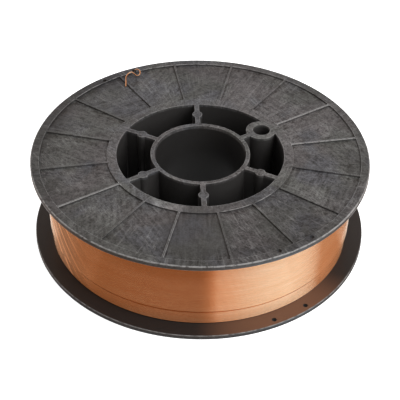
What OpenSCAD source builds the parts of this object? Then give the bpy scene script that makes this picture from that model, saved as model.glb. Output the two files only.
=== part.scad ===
// Spool of copper-coated welding wire, lying on its flange.
// Millimetres. +Z is up along the spool's axis, the origin is at the centre of the bottom
// face, and +X points through the drive hole.

/* [Spool] */
// Outer diameter of both flanges
flange_d = 200; // [192:1:220]
// Overall height of the spool, over both flanges
spool_h = 55; // [45:1:80]
// Thickness of a flange at its rim
flange_t = 3.1; // [2.6:0.1:5]
// Rounding of a flange's outer corner
corner_r = 0.8; // [0.4:0.1:1.3]
// Rounding of a flange's corner on the wire side
inner_corner_r = 0.5; // [0.3:0.1:0.8]
// Outer diameter of the barrel that carries the winding
barrel_d = 104.4; // [100:0.2:112]
// Wall of the barrel
barrel_wall = 2.7; // [2:0.1:4]
// Fillet between the barrel and a flange, on the wire side
barrel_fillet = 1; // [0.4:0.1:2]

/* [Flange face] */
// Width of the raised ring at the rim
rim_ring_w = 5.2; // [3.6:0.1:8]
// Width of the raised ring around the hub, from the barrel's inside
hub_ring_w = 5.8; // [5:0.1:10]
// Depth of the panels between the two rings
panel_depth = 1.1; // [0.4:0.1:1.6]
// Number of radial ribs on a face
rib_count = 16; // [8:2:24]
// Width of a radial rib
rib_w = 1.2; // [0.8:0.1:3]

/* [Hub] */
// Bore that sits on the feeder's spindle
bore_d = 53; // [48:0.1:54]
// How much the bore opens up at each mouth, all round
bore_lead = 0.7; // [0.2:0.1:1.2]
// Depth over which the bore opens up
bore_lead_h = 2; // [0.5:0.1:6]
// Wall of the bore's tube
tube_wall = 2.95; // [2.5:0.05:5]
// Number of webs between the tube and the barrel
web_count = 6; // [3:1:8]
// Thickness of a web
web_t = 3; // [2:0.1:6]
// Diameter of the ejector boss on each plain web
web_boss_d = 6.1; // [5:0.1:9]
// Radius at which the ejector bosses sit
web_boss_at = 39.3; // [36:0.1:44]

/* [Drive hole] */
// Distance of the drive hole from the spool's axis
drive_at = 44; // [44:0.1:45]
// Diameter of the drive hole
drive_d = 10.3; // [9:0.1:11]
// Bevel at both mouths of the drive hole
drive_bevel = 0.2; // [0.1:0.1:0.8]
// Wall of the boss around the drive hole, on average
drive_wall = 3.8; // [2.5:0.1:5]
// How much nearer the axis the boss sits than its hole
drive_boss_shift = 0.5; // [0:0.1:1]

/* [Tie holes] */
// Diameter of a hole that ties the wire's end down
tie_d = 2.8; // [1.6:0.1:3.2]
// Distance of the tie holes' centres from the flange's edge
tie_inset = 3.7; // [3:0.1:4.5]
// Half of the angle between the two holes of a pair
tie_half_angle = 6.5; // [4:0.5:12]

/* [Wire] */
// Diameter of the wire
wire_d = 0.8; // [0.6:0.1:1]
// Distance of the winding's surface from the flanges' edge
fill_inset = 9.1; // [6.5:0.1:40]
// Height at which the outermost layer ends, above the lower flange
last_layer_end = 9.3; // [3:0.1:40]
// Clearance between the winding's bore and the barrel
pack_clearance = 0.15; // [0.1:0.05:0.3]
// How much larger the winding's cut corner is than the barrel's fillet
fillet_clearance = 0.5; // [0.3:0.1:1]
// Gap between the wire's end and the winding or the flange that it runs along
wire_gap = 0.15; // [0.05:0.05:0.3]

/* [Hidden] */
$fn = 96;
eps = 0.01;
// How far a cut runs past the face that it opens
cut = 1;
flange_r = flange_d / 2;
barrel_r = barrel_d / 2;
hub_r = barrel_r - barrel_wall;
bore_r = bore_d / 2;
tube_r = bore_r + tube_wall;
rim_ring_r = flange_r - rim_ring_w;
hub_ring_r = hub_r + hub_ring_w;
drive_boss_r = drive_d / 2 + drive_wall;
tie_at = flange_r - tie_inset;
pack_r = flange_r - fill_inset;
pack_bore_r = barrel_r + pack_clearance;
// A layer nests in the grooves of the one below it
layer_rise = wire_d * sqrt(3) / 2;
plastic = [0.16, 0.16, 0.17];
copper = [0.80, 0.45, 0.27];

// Steps of the wire end's curve between two of its points, and sides of its section
wire_steps = 4;
wire_sides = 8;

// The wire's end lies on the winding, just under the upper flange, then leaves it on a
// tangent that meets the axis of a tie hole. Heights are from the top of the spool.
lead_r = pack_r + wire_d / 2 + wire_gap;
lead_h = -flange_t - wire_d / 2 - wire_gap;
tied_at = 90 - tie_half_angle;
leave_at = tied_at - acos(lead_r / tie_at);
leave = lead_r * [cos(leave_at), sin(leave_at)];
tie_centre = tie_at * [cos(tied_at), sin(tied_at)];
// How far the wire lies on the winding before it leaves, and its stops on the way to the hole
lead_angles = [16 : -4 : 0];
lead_stops = [0.35, 0.7, 0.9, 0.965];
// Bends above the face, from the tie hole on: [clockwise, outwards, height] from its centre
bends = [
    [0, 0, -2.6], [0, -0.1, -0.4], [0.8, -1.6, 1.8], [1.6, -3.6, 2.3], [1.8, -5.3, 2],
    [0.6, -7, 1.1], [-1.1, -6.8, 0.7], [-2, -5.2, 1.1], [-3.2, -3.8, 2], [-4.6, -4, 2.2],
    [-6.3, -4.5, 2], [-8.4, -6.4, 1.6], [-10.3, -10.4, 0.9], [-11.9, -13.7, -0.4]
];

// What is cut from a square corner to leave it rounded, with the corner at the origin
module corner_waste(r) {
    difference() {
        translate([-r, -r]) square(r + eps);
        translate([-r, -r]) circle(r);
    }
}

// Fillet in a corner at the origin, between the two positive axes
module corner_fill(r) {
    difference() {
        translate([-eps, -eps]) square(r + eps);
        translate([r, r]) circle(r);
    }
}

// Half-section of a flange, with its outer face on z = 0
module flange_section() {
    translate([barrel_r, flange_t]) corner_fill(barrel_fillet);
    difference() {
        translate([hub_r, 0]) square([flange_r - hub_r, flange_t]);
        translate([flange_r, flange_t]) corner_waste(inner_corner_r);
        translate([flange_r, 0]) mirror([0, 1]) corner_waste(corner_r);
    }
}

// Recess of a flange's face between the two rings, with the ribs left standing
module face_panels() {
    standing_h = panel_depth + 3 * cut;
    difference() {
        translate([0, 0, -cut]) cylinder(r = rim_ring_r, h = panel_depth + cut);
        translate([0, 0, -2 * cut]) cylinder(r = hub_ring_r, h = standing_h);
        for (k = [0 : rib_count - 1])
            rotate(k * 360 / rib_count)
                translate([0, -rib_w / 2, -2 * cut]) cube([flange_r, rib_w, standing_h]);
    }
}

// Two pairs of holes through a flange, a quarter turn either side of the drive hole
module tie_holes() {
    for (side = [90, 270], half = [-1, 1])
        rotate(side + half * tie_half_angle)
            translate([tie_at, 0, -cut]) cylinder(d = tie_d, h = flange_t + 2 * cut);
}

// A whole flange, with its outer face on z = 0
module flange() {
    difference() {
        rotate_extrude() flange_section();
        face_panels();
        tie_holes();
    }
}

// Webs with their bosses, and the boss of the drive hole, before the bores are cut
module hub_webs() {
    wall_mid_r = (hub_r + barrel_r) / 2;
    tube_mid_r = (bore_r + tube_r) / 2;
    for (k = [0 : web_count - 1])
        rotate(k * 360 / web_count)
            translate([tube_mid_r, -web_t / 2, 0]) cube([wall_mid_r - tube_mid_r, web_t, spool_h]);
    for (k = [1 : web_count - 1])
        rotate(k * 360 / web_count)
            translate([web_boss_at, 0, 0]) cylinder(d = web_boss_d, h = spool_h);
    intersection() {
        translate([drive_at - drive_boss_shift, 0, 0]) cylinder(r = drive_boss_r, h = spool_h);
        cylinder(r = wall_mid_r, h = spool_h);
    }
}

// A straight bore that opens up by lead, over a depth of lead_h, at both ends
module led_bore(r, lead, lead_h) {
    mouth_r = r + lead * (1 + eps / lead_h);
    translate([0, 0, -cut]) cylinder(r = r, h = spool_h + 2 * cut);
    translate([0, 0, -eps]) cylinder(r1 = mouth_r, r2 = r, h = lead_h + eps);
    translate([0, 0, spool_h - lead_h]) cylinder(r1 = r, r2 = mouth_r, h = lead_h + eps);
}

// The moulded spool
module spool() {
    color(plastic)
    difference() {
        union() {
            flange();
            translate([0, 0, spool_h]) mirror([0, 0, 1]) flange();
            difference() {
                cylinder(r = barrel_r, h = spool_h);
                translate([0, 0, -cut]) cylinder(r = hub_r, h = spool_h + 2 * cut);
            }
            cylinder(r = tube_r, h = spool_h);
            hub_webs();
        }
        led_bore(bore_r, bore_lead, bore_lead_h);
        translate([drive_at, 0, 0]) led_bore(drive_d / 2, drive_bevel, drive_bevel);
    }
}

// The wound wire: one turned body from the barrel out, face to face with both flanges.
// The outermost layer stops short of the lower flange.
module wire_pack() {
    inner_r = pack_r - layer_rise;
    pack_h = spool_h - 2 * flange_t;
    color(copper)
    translate([0, 0, flange_t])
    rotate_extrude()
        difference() {
            union() {
                translate([pack_bore_r, 0]) square([inner_r - pack_bore_r, pack_h]);
                translate([pack_bore_r, last_layer_end])
                    square([pack_r - pack_bore_r, pack_h - last_layer_end]);
            }
            translate([barrel_r, 0]) corner_fill(barrel_fillet + fillet_clearance);
            translate([barrel_r, pack_h]) mirror([0, 1])
                corner_fill(barrel_fillet + fillet_clearance);
        }
}

// Point at share t of the way from b to c, on a smooth curve through a, b, c and d
function smooth(a, b, c, d, t) =
    b + (c - a) * t / 2 + (a * 2 - b * 5 + c * 4 - d) * t * t / 2
    + (b * 3 - c * 3 + d - a) * t * t * t / 2;

// All points of the smooth curve through a route
function curve(p, steps) = [
    for (i = [0 : len(p) - 2], s = [0 : steps - 1])
        smooth(p[max(i - 1, 0)], p[i], p[i + 1], p[min(i + 2, len(p) - 1)], s / steps),
    p[len(p) - 1]
];

function unit(v) = v / norm(v);

// Direction of a path at its point i
function heading(p, i) = unit(p[min(i + 1, len(p) - 1)] - p[max(i - 1, 0)]);

// Side vectors carried along a path without twist
function sides_along(p, i, v) =
    i == len(p) ? [] : let (t = heading(p, i), w = unit(v - t * (v * t)))
        concat([w], sides_along(p, i + 1, w));

// A round wire of diameter d along a path
module swept_wire(p, d, n) {
    side = sides_along(p, 0, [0, 0, 1]);
    last = len(p) - 1;
    points = [
        for (i = [0 : last], k = [0 : n - 1])
            let (up = cross(heading(p, i), side[i]))
                p[i] + d / 2 * (side[i] * cos(360 * k / n) + up * sin(360 * k / n))
    ];
    faces = [
        [for (k = [0 : n - 1]) k],
        for (i = [0 : last - 1], k = [0 : n - 1])
            [i * n + k, (i + 1) * n + k, (i + 1) * n + (k + 1) % n, i * n + (k + 1) % n],
        [for (k = [n - 1 : -1 : 0]) last * n + k]
    ];
    polyhedron(points, faces);
}

// Points of the wire's end, from the winding, along its tangent and through the tie hole
function wire_route() = [
    for (turn = lead_angles)
        [lead_r * cos(leave_at - turn), lead_r * sin(leave_at - turn), lead_h],
    for (stop = lead_stops)
        let (at = leave + stop * (tie_centre - leave)) [at.x, at.y, lead_h],
    for (b = bends)
        [
            tie_centre.x + b.x * sin(tied_at) + b.y * cos(tied_at),
            tie_centre.y - b.x * cos(tied_at) + b.y * sin(tied_at),
            b.z
        ]
];

// The free end of the wire, from the winding through a tie hole
module wire_end() {
    color(copper)
    translate([0, 0, spool_h]) swept_wire(curve(wire_route(), wire_steps), wire_d, wire_sides);
}

spool();
wire_pack();
wire_end();
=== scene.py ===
"""Spool of copper-coated welding wire: its visual pieces, finishes, light and camera.

Shapes are drawn in millimetres in the part's own frame and stored in metres: Z is up along
the spool's axis, the origin is at the centre of the bottom face, and X points through the
drive hole.
"""
import logging
import math
from dataclasses import dataclass, field
from enum import Enum

import bmesh
import bpy
from mathutils import Matrix, Vector
from mathutils.geometry import delaunay_2d_cdt


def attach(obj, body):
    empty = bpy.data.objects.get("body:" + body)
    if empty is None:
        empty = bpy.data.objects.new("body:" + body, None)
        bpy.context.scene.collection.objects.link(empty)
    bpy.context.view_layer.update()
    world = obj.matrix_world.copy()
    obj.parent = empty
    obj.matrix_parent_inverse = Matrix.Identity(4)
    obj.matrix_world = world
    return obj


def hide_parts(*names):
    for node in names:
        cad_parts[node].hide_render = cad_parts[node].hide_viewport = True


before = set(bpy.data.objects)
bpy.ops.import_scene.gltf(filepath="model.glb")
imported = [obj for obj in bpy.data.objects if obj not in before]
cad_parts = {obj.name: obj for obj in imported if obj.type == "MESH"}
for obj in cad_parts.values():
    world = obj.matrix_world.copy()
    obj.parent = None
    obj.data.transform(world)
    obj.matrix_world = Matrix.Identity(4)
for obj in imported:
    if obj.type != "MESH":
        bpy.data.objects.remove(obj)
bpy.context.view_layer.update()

log = logging.getLogger("welding_wire")

MM = 0.001
BODY = "root"

Point = tuple[float, float]
Colour = tuple[float, float, float]


class Side(Enum):
    """Face of the spool that a flange closes."""

    LOWER = 1
    UPPER = -1


# --- Drawing in the plane -------------------------------------------------------------------


def polar(radius: float, degrees: float) -> Point:
    """Point at a radius and an angle."""
    return radius * math.cos(math.radians(degrees)), radius * math.sin(math.radians(degrees))


def turned(point: Point, degrees: float) -> Point:
    """Point turned about the origin."""
    c, s = math.cos(math.radians(degrees)), math.sin(math.radians(degrees))
    return point[0] * c - point[1] * s, point[0] * s + point[1] * c


def arc(centre: Point, radius: float, start: float, end: float, step: float = 1.5) -> list[Point]:
    """Points along an arc, both ends included.

    Args:
        centre: Centre of the arc, in mm.
        radius: Radius, in mm.
        start: First angle, in degrees.
        end: Last angle, in degrees; a smaller one runs clockwise.
        step: Largest angle between two points, in degrees.

    Returns:
        The points, in order.
    """
    count = max(2, math.ceil(abs(end - start) / step))
    angles = [start + (end - start) * i / count for i in range(count + 1)]
    return [(centre[0] + polar(radius, a)[0], centre[1] + polar(radius, a)[1]) for a in angles]


def circle(centre: Point, radius: float, count: int) -> list[Point]:
    """Closed ring of points, anticlockwise."""
    return arc(centre, radius, 0, 360, 360 / count)[:-1]


def eased(points: list[Point], radius: float, closed: bool, steps: int = 3,
          sharp: float = 20.0) -> list[Point]:
    """Line with its corners rounded, and holding points beside each rounding.

    Args:
        points: Corners and curve points of the line.
        radius: Radius of the rounding, in mm.
        closed: Whether the last point joins the first.
        steps: Faces round one corner.
        sharp: Turn in degrees from which a point counts as a corner.

    Returns:
        The rounded line.
    """
    count = len(points)
    out: list[Point] = []
    for i, here in enumerate(points):
        if not closed and i in (0, count - 1):
            out.append(here)
            continue
        p = Vector(here)
        back, ahead = Vector(points[i - 1]) - p, Vector(points[(i + 1) % count]) - p
        bend = math.pi - back.angle(ahead)
        if math.degrees(bend) < sharp:
            out.append(here)
            continue
        cut = min(radius * math.tan(bend / 2), back.length * 0.4, ahead.length * 0.4)
        start, end = p + back.normalized() * cut, p + ahead.normalized() * cut
        hold = cut * 0.5
        if back.length > 2 * (cut + hold):
            out.append(tuple(p + back.normalized() * (cut + hold)))
        out += [tuple(start.lerp(p, t).lerp(p.lerp(end, t), t))
                for t in (k / steps for k in range(steps + 1))]
        if ahead.length > 2 * (cut + hold):
            out.append(tuple(p + ahead.normalized() * (cut + hold)))
    return out


def grown(loop: list[Point], distance: float, shares: list[float] | None = None) -> list[Point]:
    """Anticlockwise loop moved outwards.

    Args:
        loop: The loop.
        distance: How far it moves, in mm.
        shares: Share of the distance that each point moves.

    Returns:
        The moved loop.
    """
    out = []
    for i, (here, share) in enumerate(zip(loop, shares or [1.0] * len(loop))):
        p = Vector(here)
        before = (p - Vector(loop[i - 1])).normalized()
        after = (Vector(loop[(i + 1) % len(loop)]) - p).normalized()
        normal = Vector((before.y + after.y, -before.x - after.x)).normalized()
        lean = normal.dot(Vector((after.y, -after.x)))
        out.append(tuple(p + normal * (share * distance / max(lean, 0.5))))
    return out


# --- Skin of a moulded piece ----------------------------------------------------------------


@dataclass
class Skin:
    """Faces of a piece as they are drawn, before they are joined into one mesh.

    Args:
        points: Corners, in mm.
        faces: Corner numbers of each face.
        smooth: Whether each face is part of a curved surface.
        wear_and_highlight: How pale each corner is made, from 0 to 1: wear, and on some
        edges a painted highlight.
    """

    points: list[tuple[float, float, float]] = field(default_factory=list)
    faces: list[tuple[int, ...]] = field(default_factory=list)
    smooth: list[bool] = field(default_factory=list)
    wear_and_highlight: list[float] = field(default_factory=list)

    def wall(self, rings: list[list[Point]], heights: list[float], wear_and_highlight: list[float],
             along: list[float] | None = None) -> None:
        """Adds the faces between rings of equal count.

        Args:
            rings: Closed rings in the plane, in order along the wall.
            heights: Height of each ring, in mm.
            wear_and_highlight: Paleness of each ring, from wear and painted highlights.
            along: Factor on the exposure at each point of a ring.
        """
        first, count = len(self.points), len(rings[0])
        along = along or [1.0] * count
        for ring, height, exposure in zip(rings, heights, wear_and_highlight):
            self.points += [(x, y, height) for x, y in ring]
            self.wear_and_highlight += [exposure * factor for factor in along]
        for r in range(len(rings) - 1):
            for i in range(count):
                j = (i + 1) % count
                low, high = first + r * count, first + (r + 1) * count
                self.faces.append((low + i, low + j, high + j, high + i))
                self.smooth.append(True)

    def opening(self, loop: list[Point], profile: list[Point], wear_and_highlight: list[float],
                along: list[float] | None = None, shares: list[float] | None = None) -> None:
        """Adds the wall of an opening.

        Args:
            loop: Outline of the opening, anticlockwise.
            profile: Distance outside the outline, and height, from one end to the other.
            wear_and_highlight: Paleness at each point of the profile, from wear and painted
            highlights.
            along: Factor on the exposure at each point of the outline.
            shares: Share of the profile's distances at each point of the outline.
        """
        self.wall([grown(loop, away, shares) for away, _ in profile], [z for _, z in profile],
                  wear_and_highlight, along)

    def flat(self, height: float, outline: list[Point], holes: list[list[Point]]) -> None:
        """Adds a level face with holes.

        Args:
            height: Height of the face, in mm.
            outline: Outer edge.
            holes: Edges of the holes.
        """
        loops = [outline, *holes]
        corners = [Vector(p) for loop in loops for p in loop]
        numbers, start = [], 0
        for loop in loops:
            numbers.append(list(range(start, start + len(loop))))
            start += len(loop)
        found = delaunay_2d_cdt(corners, [], numbers, 1, 1e-5)
        first = len(self.points)
        self.points += [(p.x, p.y, height) for p in found[0]]
        self.wear_and_highlight += [0.0] * len(found[0])
        for face, owners in zip(found[2], found[5]):
            if list(owners) == [0]:
                self.faces.append(tuple(first + i for i in face))
                self.smooth.append(False)

    def mesh(self, name: str) -> bpy.types.Mesh:
        """Joins the faces into one closed mesh in metres, with its normals outwards."""
        mesh = bpy.data.meshes.new(name)
        mesh.from_pydata([tuple(c * MM for c in p) for p in self.points], [], self.faces)
        mesh.polygons.foreach_set("use_smooth", self.smooth)
        exposure = mesh.attributes.new("wear_and_highlight", "FLOAT", "POINT")
        exposure.data.foreach_set("value", self.wear_and_highlight)
        skin = bmesh.new()
        skin.from_mesh(mesh)
        bmesh.ops.remove_doubles(skin, verts=skin.verts, dist=2e-6)
        bmesh.ops.recalc_face_normals(skin, faces=skin.faces)
        open_edges = sum(1 for e in skin.edges if not e.is_manifold)
        skin.to_mesh(mesh)
        skin.free()
        log.info("%s: %d faces, %d open edges", name, len(mesh.polygons), open_edges)
        return mesh


def shown(name: str, mesh: bpy.types.Mesh, material: bpy.types.Material) -> bpy.types.Object:
    """Puts a mesh into the scene as an object with one material.

    Args:
        name: Name of the piece.
        mesh: Its mesh, in place.
        material: Its material.

    Returns:
        The new object, at the origin.
    """
    piece = bpy.data.objects.new(name, mesh)
    mesh.materials.clear()
    mesh.materials.append(material)
    bpy.context.scene.collection.objects.link(piece)
    return piece


# --- Node trees -----------------------------------------------------------------------------


class Nodes:
    """Short calls for building a node tree."""

    def __init__(self, tree: bpy.types.NodeTree) -> None:
        """Starts on an empty tree."""
        self.tree = tree
        tree.nodes.clear()

    def add(self, kind: str, inputs: dict | None = None, **settings) -> bpy.types.Node:
        """Adds a node.

        Args:
            kind: Type of the node.
            inputs: Socket name or number to a value or to an output that feeds it.
            **settings: The node's own properties.

        Returns:
            The node.
        """
        node = self.tree.nodes.new(kind)
        for key, value in settings.items():
            setattr(node, key, value)
        for key, value in (inputs or {}).items():
            socket = node.inputs[key]
            if isinstance(value, bpy.types.NodeSocket):
                self.tree.links.new(value, socket)
            else:
                socket.default_value = value
        return node

    def math(self, operation: str, a, b=0.0, clamp: bool = False) -> bpy.types.NodeSocket:
        """Adds a Math node and returns its output."""
        return self.add("ShaderNodeMath", {0: a, 1: b}, operation=operation,
                        use_clamp=clamp).outputs[0]

    def ramp(self, value, low: float, high: float, to_low: float = 0.0,
             to_high: float = 1.0) -> bpy.types.NodeSocket:
        """Maps a value smoothly from one range to another, held at both ends."""
        return self.add("ShaderNodeMapRange", {0: value, 1: low, 2: high, 3: to_low, 4: to_high},
                        interpolation_type="SMOOTHSTEP").outputs[0]

    def mix(self, share, a, b, blend: str = "MIX") -> bpy.types.NodeSocket:
        """Mixes two colours and returns the result."""
        node = self.tree.nodes.new("ShaderNodeMix")
        node.data_type, node.blend_type = "RGBA", blend
        for socket, value in ((node.inputs[0], share), (node.inputs[6], a), (node.inputs[7], b)):
            if isinstance(value, bpy.types.NodeSocket):
                self.tree.links.new(value, socket)
            elif socket.type == "RGBA":
                socket.default_value = (*value[:3], 1.0)
            else:
                socket.default_value = value
        return node.outputs[2]

    def noise(self, vector, scale: float, detail: float = 3.0, rough: float = 0.55,
              warp: float = 0.0) -> bpy.types.NodeSocket:
        """Adds a Noise Texture and returns its value."""
        return self.add("ShaderNodeTexNoise", {"Vector": vector, "Scale": scale,
                        "Detail": detail, "Roughness": rough, "Distortion": warp}).outputs[0]

    def combine(self, x, y, z) -> bpy.types.NodeSocket:
        """Adds a Combine XYZ node and returns its vector."""
        return self.add("ShaderNodeCombineXYZ", {0: x, 1: y, 2: z}).outputs[0]

    def group(self, tree: bpy.types.NodeTree, inputs: dict) -> bpy.types.Node:
        """Adds a shader node group."""
        node = self.tree.nodes.new("ShaderNodeGroup")
        node.node_tree = tree
        for key, value in inputs.items():
            if isinstance(value, bpy.types.NodeSocket):
                self.tree.links.new(value, node.inputs[key])
            else:
                node.inputs[key].default_value = value
        return node


class Effect:
    """A shader node group: one effect that several finishes share."""

    name = "effect"
    takes: dict[str, tuple[str, float | None]] = {}
    gives: dict[str, str] = {}

    def __init__(self) -> None:
        """Builds the group's tree once."""
        self.tree = bpy.data.node_groups.new(self.name, "ShaderNodeTree")
        for label, (kind, default) in self.takes.items():
            socket = self.tree.interface.new_socket(label, in_out="INPUT", socket_type=kind)
            if default is not None:
                socket.default_value = default
        for label, kind in self.gives.items():
            self.tree.interface.new_socket(label, in_out="OUTPUT", socket_type=kind)
        nodes = Nodes(self.tree)
        given = nodes.add("NodeGroupInput").outputs
        out = nodes.add("NodeGroupOutput")
        for label, socket in self.build(nodes, given).items():
            self.tree.links.new(socket, out.inputs[label])

    def build(self, nodes: Nodes, given) -> dict[str, bpy.types.NodeSocket]:
        """Builds the tree between the inputs and the outputs."""
        raise NotImplementedError


FLOAT, VECTOR = "NodeSocketFloat", "NodeSocketVector"


class Mottle(Effect):
    """Uneven tone and grain of a rubbed or moulded surface."""

    name = "Mottle"
    takes = {"Vector": (VECTOR, None), "Patch Scale": (FLOAT, 60.0),
             "Grain Scale": (FLOAT, 900.0), "Grain Share": (FLOAT, 0.5)}
    gives = {"Tone": FLOAT, "Height": FLOAT}

    def build(self, nodes: Nodes, given) -> dict[str, bpy.types.NodeSocket]:
        """Mixes broad patches with fine grain."""
        patch = nodes.noise(given["Vector"], given["Patch Scale"], 4, 0.6, 0.4)
        grain = nodes.noise(given["Vector"], given["Grain Scale"], 3, 0.65)
        fine = nodes.math("MULTIPLY", grain, given["Grain Share"])
        broad = nodes.math("MULTIPLY", patch, nodes.math("SUBTRACT", 1.0, given["Grain Share"]))
        return {"Tone": nodes.math("ADD", fine, broad), "Height": grain}


class Streaks(Effect):
    """Marks that run outwards from the axis, or round it."""

    name = "Streaks"
    takes = {"Vector": (VECTOR, None), "Round": (FLOAT, 40.0), "Out": (FLOAT, 40.0),
             "Up": (FLOAT, 40.0), "Detail": (FLOAT, 3.0), "Low": (FLOAT, 0.4),
             "High": (FLOAT, 0.7)}
    gives = {"Mask": FLOAT, "Value": FLOAT}

    def build(self, nodes: Nodes, given) -> dict[str, bpy.types.NodeSocket]:
        """Stretches noise in cylindrical coordinates, without a seam."""
        parts = nodes.add("ShaderNodeSeparateXYZ", {0: given["Vector"]}).outputs
        square = nodes.math("ADD", nodes.math("MULTIPLY", parts[0], parts[0]),
                            nodes.math("MULTIPLY", parts[1], parts[1]))
        radius = nodes.math("SQRT", nodes.math("MAXIMUM", square, 1e-9))
        out = nodes.math("MULTIPLY", radius, given["Out"])
        x = nodes.math("MULTIPLY", nodes.math("DIVIDE", parts[0], radius), given["Round"])
        y = nodes.math("MULTIPLY", nodes.math("DIVIDE", parts[1], radius), given["Round"])
        up = nodes.math("ADD", nodes.math("MULTIPLY", parts[2], given["Up"]), out)
        value = nodes.noise(nodes.combine(x, y, up), 1.0, given["Detail"], 0.6)
        mask = nodes.add("ShaderNodeMapRange", {0: value, 1: given["Low"], 2: given["High"]},
                         interpolation_type="SMOOTHSTEP").outputs[0]
        return {"Mask": mask, "Value": value}


class Brushing(Effect):
    """Fine strokes that run a different way in each panel, and the panel's own tone."""

    name = "Brushing"
    takes = {"Vector": (VECTOR, None), "Panels": (FLOAT, 16.0), "Along": (FLOAT, 60.0),
             "Across": (FLOAT, 600.0)}
    gives = {"Stroke": FLOAT, "Tone": FLOAT}

    def build(self, nodes: Nodes, given) -> dict[str, bpy.types.NodeSocket]:
        """Turns stretched noise by a random angle in each sector between two ribs."""
        parts = nodes.add("ShaderNodeSeparateXYZ", {0: given["Vector"]}).outputs
        angle = nodes.math("ARCTAN2", parts[1], parts[0])
        share = nodes.math("ADD", nodes.math("DIVIDE", angle, 2 * math.pi), 1.0)
        sector = nodes.math("FLOOR", nodes.math("MULTIPLY", share, given["Panels"]))
        tone = nodes.add("ShaderNodeTexWhiteNoise", {"W": sector},
                         noise_dimensions="1D").outputs["Value"]
        turn = nodes.math("MULTIPLY", tone, math.pi)
        laid = nodes.add("ShaderNodeVectorRotate", {"Vector": given["Vector"], "Angle": turn},
                         rotation_type="Z_AXIS").outputs[0]
        local = nodes.add("ShaderNodeSeparateXYZ", {0: laid}).outputs
        long = nodes.math("MULTIPLY", local[0], given["Along"])
        wide = nodes.math("MULTIPLY", local[1], given["Across"])
        return {"Stroke": nodes.noise(nodes.combine(long, wide, sector), 1.0, 4, 0.6),
                "Tone": tone}


class Scratches(Effect):
    """Short fine scratches in all directions."""

    name = "Scratches"
    takes = {"Vector": (VECTOR, None), "Scale": (FLOAT, 120.0), "Density": (FLOAT, 0.5)}
    gives = {"Mask": FLOAT}

    def build(self, nodes: Nodes, given) -> dict[str, bpy.types.NodeSocket]:
        """Takes the thin ridges of two stretched noises that lie across each other."""
        ridges = []
        for turn, across in ((0.4, 9.0), (1.9, 7.0), (2.8, 8.0)):
            laid = nodes.add("ShaderNodeMapping", {"Vector": given["Vector"],
                             "Rotation": (0, 0, turn), "Scale": (across, 1.0, 1.0)}).outputs[0]
            value = nodes.noise(laid, given["Scale"], 2, 0.5, 0.6)
            near = nodes.math("ABSOLUTE", nodes.math("SUBTRACT", value, 0.5))
            line = nodes.ramp(near, 0.0, 0.022, 1.0, 0.0)
            broken = nodes.noise(given["Vector"], 55.0 + across, 2)
            limit = nodes.math("SUBTRACT", 0.75, nodes.math("MULTIPLY", given["Density"], 0.4))
            keep = nodes.math("GREATER_THAN", broken, limit)
            ridges.append(nodes.math("MULTIPLY", line, keep))
        both = nodes.math("MAXIMUM", ridges[0], ridges[1])
        return {"Mask": nodes.math("MAXIMUM", both, ridges[2])}


class EdgeWearAndHighlight(Effect):
    """Pale edges, broken up by noise: wear, and on some edges a painted highlight."""

    name = "Edge Wear And Highlight"
    takes = {"Vector": (VECTOR, None), "Wear And Highlight": (FLOAT, 0.0), "Scale": (FLOAT, 300.0)}
    gives = {"Mask": FLOAT}

    def build(self, nodes: Nodes, given) -> dict[str, bpy.types.NodeSocket]:
        """Multiplies the exposure of an edge with noise."""
        value = nodes.noise(given["Vector"], given["Scale"], 4, 0.7)
        uneven = nodes.ramp(value, 0.3, 0.62)
        return {"Mask": nodes.math("MULTIPLY", given["Wear And Highlight"], uneven, clamp=True)}


# --- Finishes -------------------------------------------------------------------------------


@dataclass(frozen=True)
class Finish:
    """What every finish has.

    Args:
        name: Name of the material.
    """

    name: str

    def start(self) -> tuple[Nodes, bpy.types.Material, bpy.types.Node, bpy.types.NodeSocket]:
        """Makes the material with its shader and Object coordinates.

        Returns:
            The tree, the material, the Principled BSDF and the coordinates.
        """
        material = bpy.data.materials.new(self.name)
        material.use_nodes = True
        nodes = Nodes(material.node_tree)
        shader = nodes.add("ShaderNodeBsdfPrincipled")
        out = nodes.add("ShaderNodeOutputMaterial")
        material.node_tree.links.new(shader.outputs[0], out.inputs[0])
        where = nodes.add("ShaderNodeTexCoord").outputs["Object"]
        return nodes, material, shader, where


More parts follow.
